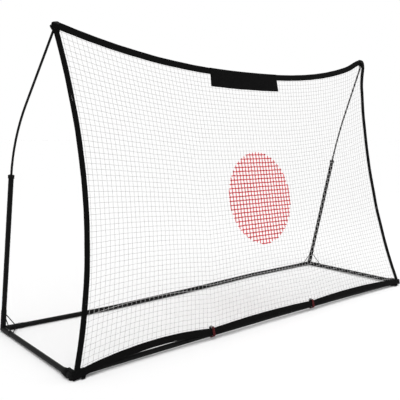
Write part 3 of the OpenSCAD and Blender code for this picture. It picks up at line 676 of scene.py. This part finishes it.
def make_tapes():
    ends = TIP_CLEAR / TOP_SPAN
    u = np.linspace(ends, 1 - ends, TAPE_POINTS["top"])
    make_tape("top_edge_tape", "top_tape", (2 * u - 1) * TOP_SPAN / 2, top_s(u), -1, TOP_TAPE_WIDTH,
              waves=(0.3, 1.9))
    x = np.linspace(-HALF - TAPE_OVER, HALF + TAPE_OVER, TAPE_POINTS["bottom"])
    make_tape("bottom_edge_tape", "bottom_tape", x, low_s(x) - LOW_TAPE_DROP, 1, LOW_TAPE_WIDTH,
              waves=(1.1, 0.4))
    low = (LOW_TAPE_WIDTH / 2 - LOW_TAPE_DROP - 0.003) / CORNER_S
    v = np.linspace(low, (TIP_S - TIP_CLEAR) / CORNER_S, TAPE_POINTS["side"])
    for name, sign in SIDES.items():
        x, s = net_point(np.full_like(v, (1 + sign) / 2), v)
        make_tape(f"{name}_edge_tape", f"{name}_tape", x, s, -sign, SIDE_WIDTHS[name],
                  waves=(0.7 * sign, 2.2), thickness=SIDE_TAPE_THICKNESS)


# ---- Bare tab
TAB_THICKNESS = 0.0011
TAB_HEM = 0.008
TAB_HEM_THICKER = 1.35
TAB_RIM_THINNER = 0.6
TAB_SEAMS = (0.0035, 0.0068)
TAB_STITCH_PITCH = 0.004


def make_tab():
    """A hemmed strip of cloth sewn to the top tape, with nothing on it."""
    reach = TAB_WIDTH / 2
    columns, rows = 101, 21
    base = TAPE_THICKNESS / 2 + FIT
    x = np.linspace(-reach, reach, columns)
    u = (x / (TOP_SPAN / 2) + 1) / 2
    edge = np.stack([x, top_s(u)], axis=1)
    way = unit(np.gradient(edge, axis=0))
    down = np.stack([way[:, 1], -way[:, 0]], axis=1)
    over = TOP_TAPE_WIDTH / 2
    drop = np.linspace(-over, TAB_HEIGHT - over, rows)
    place = edge[:, None] + drop[None, :, None] * down[:, None]
    hang = np.clip((drop - over) / (drop[-1] - over), 0, 1)
    wave = (0.0010 * np.sin(x[:, None] * 31 + 0.6) * hang
            + 0.0007 * np.sin(x[:, None] * 74 + 2) * hang ** 2)
    border = np.minimum(np.minimum(x + reach, reach - x)[:, None],
                        np.minimum(drop + over, drop[-1] - drop)[None])
    thick = np.where(border < TAB_HEM, TAB_HEM_THICKER, 1.0) * TAB_THICKNESS
    thick = thick * np.where(border < 0.0001, TAB_RIM_THINNER, 1.0)
    middle = base + 0.9 * TAB_THICKNESS + wave - 0.0012 * np.sin(hang * math.pi / 2)
    front = on_net(place[..., 0], place[..., 1], middle + thick / 2)
    back = on_net(place[..., 0], place[..., 1], middle - thick / 2)
    points = np.concatenate([front.reshape(-1, 3), back.reshape(-1, 3)])
    count = columns * rows
    faces, cloth = [], []
    flat = [(x[i], drop[j]) for i in range(columns) for j in range(rows)] * 2

    def face(*corners):
        faces.append(corners)
        cloth.append([flat[c] for c in corners])

    for i in range(columns - 1):
        for j in range(rows - 1):
            a, b, c, d = i * rows + j, i * rows + j + 1, (i + 1) * rows + j + 1, (i + 1) * rows + j
            face(a, b, c, d)
            face(count + d, count + c, count + b, count + a)
    rim = ([i * rows for i in range(columns)] + [(columns - 1) * rows + j for j in range(1, rows)]
           + [i * rows + rows - 1 for i in range(columns - 2, -1, -1)] + list(range(rows - 2, 0, -1)))
    for a, b in zip(rim, rim[1:] + rim[:1]):
        face(a, b, count + b, count + a)
    shape = Shape()
    shape.add(points, faces, cloth)
    for inset in TAB_SEAMS:
        for seam, sign in ((drop[0] + inset, 1), (drop[-1] - inset, -1)):
            share = (seam - drop[0]) / (drop[-1] - drop[0]) * (rows - 1)
            j = int(share)
            t = share - j
            line = front[2:-2, j] * (1 - t) + front[2:-2, j + 1] * t
            inward = np.broadcast_to(sign * -UP, line.shape)
            stitches(shape, line - OUT * TAB_THICKNESS / 2, inward, 0, OUT, TAB_THICKNESS + 0.0003,
                     TAB_STITCH_PITCH)
    tab = shape.piece("bare_tab", [tab_cloth, black_thread])
    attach(tab, ROOT)
    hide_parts("blank_tab")


# ---- Straps that hold the net's lower corners on the elbows
BACK = np.array([0.0, 1.0, 0.0])
UPRIGHT = np.array([0.0, 0.0, 1.0])
STRAP_RIBS = 6
STRAP_SEAM = 0.007
BAND_R = ELBOW_R + FIT + STRAP / 2
BAND_POINTS = 48
TONGUE_END = 0.004                    # how far under the lower tape's upper edge the tongue ends
TONGUE_WAVE = (0.0002, 300)           # height, and radians to a metre
SIDE_TONGUE_WAVE = (0.0003, 180)
SIDE_TONGUE_CLEAR = 0.0032
# The front band's free end, outwards, backwards and up from the bar's middle, in radii of a second layer
# on the band: it leaves the band low at its front, slants towards the corner and turns back under
TAIL = [(0.0, -0.6, -0.72), (0.15, -0.95, -0.60), (0.35, -1.24, -0.58), (0.5, -1.44, -0.64),
        (0.52, -1.48, -0.76), (0.42, -1.30, -0.84), (0.3, -1.05, -0.84)]


def ring_path(middle, a, b, radius, count):
    """A circle round middle in the plane of a and b, and the way out from the middle at its points."""
    angles = np.radians(np.linspace(0, 360, count + 1))[:-1]
    out = unit(np.cos(angles)[:, None] * a + np.sin(angles)[:, None] * b)
    return middle + radius * out, out


def strap_band(shape, path, out, across, closed=False):
    shape.sweep(path, strip_profile(STRAP_WIDTH, STRAP, STRAP_RIBS), across, out, closed=closed)


def folded_tail(middle, sign):
    path = smooth_path([middle + (BAND_R + STRAP) * np.array([sign * x, y, z]) for x, y, z in TAIL], 0.0015)
    return path, unit(np.cross(ALONG, headings(path)))


def make_front_strap(name, sign):
    """A band round the elbow's leg with a tongue that goes up behind the lower tape."""
    x = sign * (HALF - STRAP_AT - STRAP_WIDTH / 2)
    middle = np.array([x, FRONT_Y, bar_height(x)])
    shape = Shape()
    strap_band(shape, *ring_path(middle, BACK, UPRIGHT, BAND_R, BAND_POINTS), ALONG, closed=True)
    top = float(low_s(x)) - LOW_TAPE_DROP + LOW_TAPE_WIDTH / 2 - TONGUE_END
    s = np.linspace(top - TONGUE, top, 12)
    back = -(TAPE_THICKNESS / 2 + FIT + STRAP / 2)
    path = on_net(x, s, back + TONGUE_WAVE[0] * np.sin(s * TONGUE_WAVE[1]))
    strap_band(shape, path, -OUT, ALONG)
    for offset in (-STRAP_SEAM, STRAP_SEAM):
        stitches(shape, path, np.broadcast_to(ALONG, path.shape), offset, -OUT, STRAP)
    strap_band(shape, *folded_tail(middle, sign), ALONG)
    return shape.piece(f"front_band_{name}", [strap_cloth, black_thread])


def make_side_strap(name, sign):
    """A band round the elbow's other leg with a tongue along its top to the lower tape."""
    y = FRONT_Y + SIDE_STRAP_AT + STRAP_WIDTH / 2
    slope = (REAR_Z - FRONT_Z) / DEPTH
    middle = np.array([sign * HALF, y, FRONT_Z + slope * (y - FRONT_Y)])
    along = unit(np.array([0.0, 1.0, slope]))
    shape = Shape()
    strap_band(shape, *ring_path(middle, ALONG, UPRIGHT, BAND_R, BAND_POINTS), -along, closed=True)
    top = FRONT_Z + ELBOW_R + CORNER_PROUD + FIT + STRAP / 2
    start = ORIGIN[1] + (top - NET_LIFT) * math.tan(LEAN) + SIDE_TONGUE_CLEAR
    far = np.linspace(start, y + STRAP_WIDTH / 2, 14)
    x = sign * (HALF + TAPE_OVER - STRAP_WIDTH / 2)
    high = top + SIDE_TONGUE_WAVE[0] * np.sin(far * SIDE_TONGUE_WAVE[1])
    path = np.stack([np.full_like(far, x), far, high], axis=1)
    strap_band(shape, path, UPRIGHT, -ALONG)
    for offset in (-STRAP_SEAM, STRAP_SEAM):
        stitches(shape, path, np.broadcast_to(ALONG, path.shape), offset, UPRIGHT, STRAP)
    return shape.piece(f"side_band_{name}", [strap_cloth, black_thread])


def make_straps():
    for name, sign in SIDES.items():
        for node, make in (("front_strap", make_front_strap), ("side_strap", make_side_strap)):
            band = make(name, sign)
            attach(band, ROOT)
            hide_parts(f"{node}_{name}")


# ---- Loops that hold the net's top corners on the rod caps
CAP_R = 0.009
LOOP_LENGTH = 0.025
LOOP_RIBS = 7
LOOP_POINTS = 40
PATCH_LAP = 0.004
PATCH_THICKNESS = TAPE_THICKNESS + 0.0012
PATCH_CROWN = 0.12
PATCH_LAYERS = [(1.0, 0.0), (0.985, 0.62), (0.94, 0.92), (0.80, 1.0), (0.40, 1.0 + PATCH_CROWN)]
# Outer corners of the folded webbing: how far out from the rod's tip and how far up the net
FOLDS = {"left": [(0.009, 0.021), (0.015, 0.010), (0.023, 0.003), (0.018, -0.011)],
         "right": [(0.010, 0.033), (0.026, 0.027), (0.034, 0.010)]}


def rod_tip(name, sign):
    """The rod's tip and the way that the rod runs there, from the cap's own mesh."""
    points = np.array([v.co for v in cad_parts[f"rod_cap_{name}"].data.vertices], float)
    tip = np.array([sign * (HALF - TIP_INSET), FRONT_Y + TIP_SETBACK, TIP_HEIGHT])
    spread = np.linalg.svd(points - points.mean(0))[2][0]
    return tip, spread if spread[2] > 0 else -spread


def patch(shape, outline):
    """A flat cushion of cloth with a soft round rim, over an outline of (x, s) points."""
    p = np.asarray(outline, float)
    fine = smooth_path(np.concatenate([p, p[:1]]), 0.003)[:-1]
    middle = fine.mean(0)
    rings = [(scale, -high) for scale, high in PATCH_LAYERS[:0:-1]] + PATCH_LAYERS
    m = len(fine)
    points, flat = [], []
    for scale, high in rings:
        place = middle + (fine - middle) * scale
        points.append(on_net(place[:, 0], place[:, 1], high * PATCH_THICKNESS / 2))
        flat += [tuple(q) for q in place]
    for high in (-1 - PATCH_CROWN, 1 + PATCH_CROWN):
        points.append(on_net(middle[0], middle[1], high * PATCH_THICKNESS / 2)[None])
        flat.append(tuple(middle))
    low, high = len(rings) * m, len(rings) * m + 1
    faces = []
    for i in range(len(rings) - 1):
        for j in range(m):
            k = (j + 1) % m
            faces.append([i * m + j, i * m + k, (i + 1) * m + k, (i + 1) * m + j])
    for j in range(m):
        k = (j + 1) % m
        faces.append([low, k, j])
        faces.append([high, (len(rings) - 1) * m + j, (len(rings) - 1) * m + k])
    shape.add(np.concatenate(points), faces, [[flat[c] for c in f] for f in faces])


def make_top_loop(name, sign):
    """A loop round the rod's cap, and the folded webbing where the side tape and the top tape meet."""
    tip, along = rod_tip(name, sign)
    a = unit(np.cross(along, OUT))
    ring, out = ring_path(tip, a, np.cross(along, a), CAP_R + FIT + STRAP / 2, LOOP_POINTS)
    shape = Shape()
    shape.sweep(ring, strip_profile(LOOP_LENGTH, STRAP, LOOP_RIBS), -along, out, closed=True)
    x = HALF - TIP_INSET
    side_u, end_u = (0.0, TIP_CLEAR / TOP_SPAN) if sign < 0 else (1.0, 1 - TIP_CLEAR / TOP_SPAN)
    side, s = net_point(side_u, (TIP_S - TIP_CLEAR) / CORNER_S)
    side, s = abs(side), s - PATCH_LAP
    half, top_half = TAPE_WIDTH / 2, TOP_TAPE_WIDTH / 2
    end, end_s = x - TIP_CLEAR - PATCH_LAP, float(top_s(end_u))
    corner = [(side + half, s), (side - half, s), (end, end_s - top_half), (end, end_s + top_half)]
    corner += [(x + away, TIP_S + up) for away, up in FOLDS[name]]
    patch(shape, [(sign * px, ps) for px, ps in corner])
    loop = shape.piece(f"corner_loop_{name}", [strap_cloth])
    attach(loop, ROOT)
    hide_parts(f"top_loop_{name}")


# ---- Ties: a ball behind the lower tape and an elastic loop round the bar and the tape
BALL_R = 0.011
BALL_BACK = TAPE_THICKNESS / 2 + FIT + BALL_R
BALL_RINGS, BALL_POINTS = 28, 40
BALL_SEAM = (0.00022, 0.05)                # height, and half its width in radians
BALL_SEAT = (0.0010, 0.30)
BALL_POLE = BALL_R - 0.0012
SKIN_CLEAR = 0.0001                        # how far the visible skin stays inside its solid
FACE_OFF = TAPE_THICKNESS / 2 + FIT + ELASTIC_R
HUG_R = TUBE_R + FIT + ELASTIC_R
ELASTIC_SIDES = 14
TIE_STEP = 0.002
TIE_CLEAR = 0.002                          # between the cord and the tape's edge, and its end and the ball
TIE_BOW = np.array([0, 0.006, -0.004])     # keeps the cord off the bar on its way up to the ball


def ball_at(x):
    return on_net(x, BALL_RISE - TIE_DROP, -BALL_BACK)


def on_bar(x, degrees):
    """A place of the cord round the front bar: 0 degrees is at the back, 90 on top."""
    a = math.radians(degrees)
    return np.array([x, FRONT_Y + HUG_R * math.cos(a), bar_height(x) + HUG_R * math.sin(a)])


def tie_route(x):
    """From the ball over the tape's top edge, down its face, round the bar and back to the ball."""
    ball = ball_at(x)
    middle, half = -TIE_DROP - LOW_TAPE_DROP, LOW_TAPE_WIDTH / 2
    over = middle + half + ELASTIC_R + TIE_CLEAR
    touch = BALL_R + FIT + TIE_CLEAR
    first = on_net(x, over + 0.001, -FACE_OFF)
    leave = on_net(x, middle - half - ELASTIC_R, FACE_OFF)
    last = on_bar(x, 370)
    away = leave - np.array([x, FRONT_Y, bar_height(x)])
    start = math.degrees(math.atan2(-away[2], -away[1]) + math.acos(HUG_R / np.linalg.norm(away))) + 180
    return np.array([
        ball + touch * unit(first - ball), on_net(x, over + 0.001, -FACE_OFF / 3),
        on_net(x, over, FACE_OFF / 2), on_net(x, over - ELASTIC_R, FACE_OFF),
        on_net(x, middle, FACE_OFF), leave,
        *[on_bar(x, a) for a in np.linspace(start, 360, 9)],
        (last + ball) / 2 + TIE_BOW, ball + touch * unit(last - ball)])


def make_tie(name):
    """Both strands of the elastic. They stretch between the bar and the ball."""
    x = TIES[name]
    shape = Shape()
    for offset in (-ELASTIC_GAP / 2, ELASTIC_GAP / 2):
        line = smooth_path(tie_route(x) + offset * ALONG, TIE_STEP)
        out = unit(np.cross(headings(line), ALONG))
        shape.sweep(line, circle(ELASTIC_R - SKIN_CLEAR, ELASTIC_SIDES), ALONG, -out)
    loop = shape.piece(f"tie_elastic_{name}", [red_elastic])
    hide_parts(f"tie_loop_{name}")
    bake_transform(loop)


def make_ball(name):
    """A moulded ball with a raised parting line and a shallow seat where the elastic enters."""
    centre = ball_at(TIES[name])
    rings, count = BALL_RINGS, BALL_POINTS
    points = []
    for a in np.arange(1, rings) * math.pi / rings:
        seam = BALL_SEAM[0] * math.exp(-((a - math.pi / 2) / BALL_SEAM[1]) ** 2)
        seat = BALL_SEAT[0] * math.exp(-(min(a, math.pi - a) / BALL_SEAT[1]) ** 2)
        r = BALL_R - SKIN_CLEAR + seam - BALL_SEAM[0] - seat
        for t in 2 * math.pi * np.arange(count) / count:
            points.append(centre + r * (math.sin(a) * math.cos(t) * ALONG + math.sin(a) * math.sin(t) * OUT
                                        + math.cos(a) * UP))
    faces = [[i * count + k, (i + 1) * count + k, (i + 1) * count + (k + 1) % count,
              i * count + (k + 1) % count] for i in range(rings - 2) for k in range(count)]
    top, low = len(points), len(points) + 1
    points += [centre + BALL_POLE * UP, centre - BALL_POLE * UP]
    faces += [[top, k, (k + 1) % count] for k in range(count)]
    faces += [[low, (rings - 2) * count + (k + 1) % count, (rings - 2) * count + k] for k in range(count)]
    shape = Shape()
    shape.add(points, faces)
    ball = shape.piece(f"bungee_ball_{name}", [ball_plastic])
    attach(ball, f"tie_ball_{name}")
    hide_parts(f"tie_ball_{name}")


# ---- Studio
CAMERA = (-2.2779, FRONT_Y - 2.1236, 1.0351)
CAMERA_TURN = math.radians(39.306)     # from +Y towards +X
CAMERA_DIP = math.radians(7.287)
CAMERA_ROLL = math.radians(0.165)
FOCAL_PIXELS = 578.45
IMAGE_PIXELS = 400
IMAGE_MIDDLE = (197.40, 205.51)


def make_camera():
    """The photo's view, as fitted to the net's frame in it."""
    data = bpy.data.cameras.new("camera")
    data.sensor_width = 36
    data.lens = FOCAL_PIXELS * data.sensor_width / IMAGE_PIXELS
    data.shift_x = 0.5 - IMAGE_MIDDLE[0] / IMAGE_PIXELS
    data.shift_y = IMAGE_MIDDLE[1] / IMAGE_PIXELS - 0.5
    data.clip_end = 200
    camera = bpy.data.objects.new("camera", data)
    bpy.context.scene.collection.objects.link(camera)
    camera.matrix_world = (Matrix.Translation(CAMERA) @ Matrix.Rotation(-CAMERA_TURN, 4, "Z")
                           @ Matrix.Rotation(math.pi / 2 - CAMERA_DIP, 4, "X")
                           @ Matrix.Rotation(CAMERA_ROLL, 4, "Z"))
    bpy.context.scene.camera = camera


def seen_directly(tree):
    """1 for rays from the camera, through glass or off gloss, 0 for the light that falls on things."""
    path = tree.nodes.new("ShaderNodeLightPath")
    last = path.outputs["Is Camera Ray"]
    for name in ("Is Glossy Ray", "Is Transmission Ray"):
        most = tree.nodes.new("ShaderNodeMath")
        most.operation = "MAXIMUM"
        tree.links.new(last, most.inputs[0])
        tree.links.new(path.outputs[name], most.inputs[1])
        last = most.outputs[0]
    return last


def make_world(light):
    """A plain world that lights things with its own level and looks white behind them."""
    world = bpy.data.worlds.new("studio")
    bpy.context.scene.world = world
    world.use_nodes = True
    tree = world.node_tree
    background = tree.nodes["Background"]
    background.inputs["Color"].default_value = (1, 1, 1, 1)
    level = tree.nodes.new("ShaderNodeMapRange")
    level.inputs["To Min"].default_value = light
    level.inputs["To Max"].default_value = 1.0
    tree.links.new(seen_directly(tree), level.inputs["Value"])
    tree.links.new(level.outputs["Result"], background.inputs["Strength"])


def make_floor(reach, lift):
    """A pale floor. The lift shows to the camera alone, so the floor is white where it is lit."""
    mesh = bpy.data.meshes.new("floor")
    mesh.from_pydata([(-reach, -reach, 0), (reach, -reach, 0), (reach, reach, 0), (-reach, reach, 0)],
                     [], [(0, 1, 2, 3)])
    f = Finish("floor", Roughness=0.9, Specular_IOR_Level=0.0)
    f.shader.inputs["Base Color"].default_value = (0.92, 0.92, 0.92, 1)
    f.shader.inputs["Emission Color"].default_value = (1, 1, 1, 1)
    level = f.node("ShaderNodeMapRange")
    level.inputs["To Max"].default_value = lift
    f.link(seen_directly(f.tree), level.inputs["Value"])
    f.link(level.outputs["Result"], f.shader.inputs["Emission Strength"])
    mesh.materials.append(f.material)
    floor = bpy.data.objects.new("floor", mesh)
    bpy.context.scene.collection.objects.link(floor)


def make_sun(name, strength, spread, aim):
    """A very broad distant lamp that shines along aim."""
    data = bpy.data.lights.new(name, "SUN")
    data.energy = strength
    data.angle = math.radians(spread)
    lamp = bpy.data.objects.new(name, data)
    lamp.rotation_euler = Vector(aim).to_track_quat("-Z", "Y").to_euler()
    bpy.context.scene.collection.objects.link(lamp)


def make_softbox(name, place, aim, size, power):
    data = bpy.data.lights.new(name, "AREA")
    data.shape = "RECTANGLE"
    data.size, data.size_y = size
    data.energy = power
    lamp = bpy.data.objects.new(name, data)
    lamp.location = place
    lamp.rotation_euler = (Vector(aim) - Vector(place)).to_track_quat("-Z", "Y").to_euler()
    bpy.context.scene.collection.objects.link(lamp)


def make_studio():
    make_camera()
    make_world(light=0.45)
    make_floor(reach=60, lift=0.02)
    make_sun("overhead", strength=2.16, spread=60, aim=(0.25, 0.43, -1.0))
    make_softbox("side_box", place=(2.7, -2.0, 1.5), aim=(1.1, -0.3, 0.7), size=(1.4, 1.4), power=12)
    bpy.context.scene.view_settings.view_transform = "Standard"


make_studio()
finish_nodes()
make_net()
make_target()
make_tapes()
make_tab()
make_straps()
for side_name, side_sign in SIDES.items():
    make_top_loop(side_name, side_sign)
    make_tie(side_name)
    make_ball(side_name)
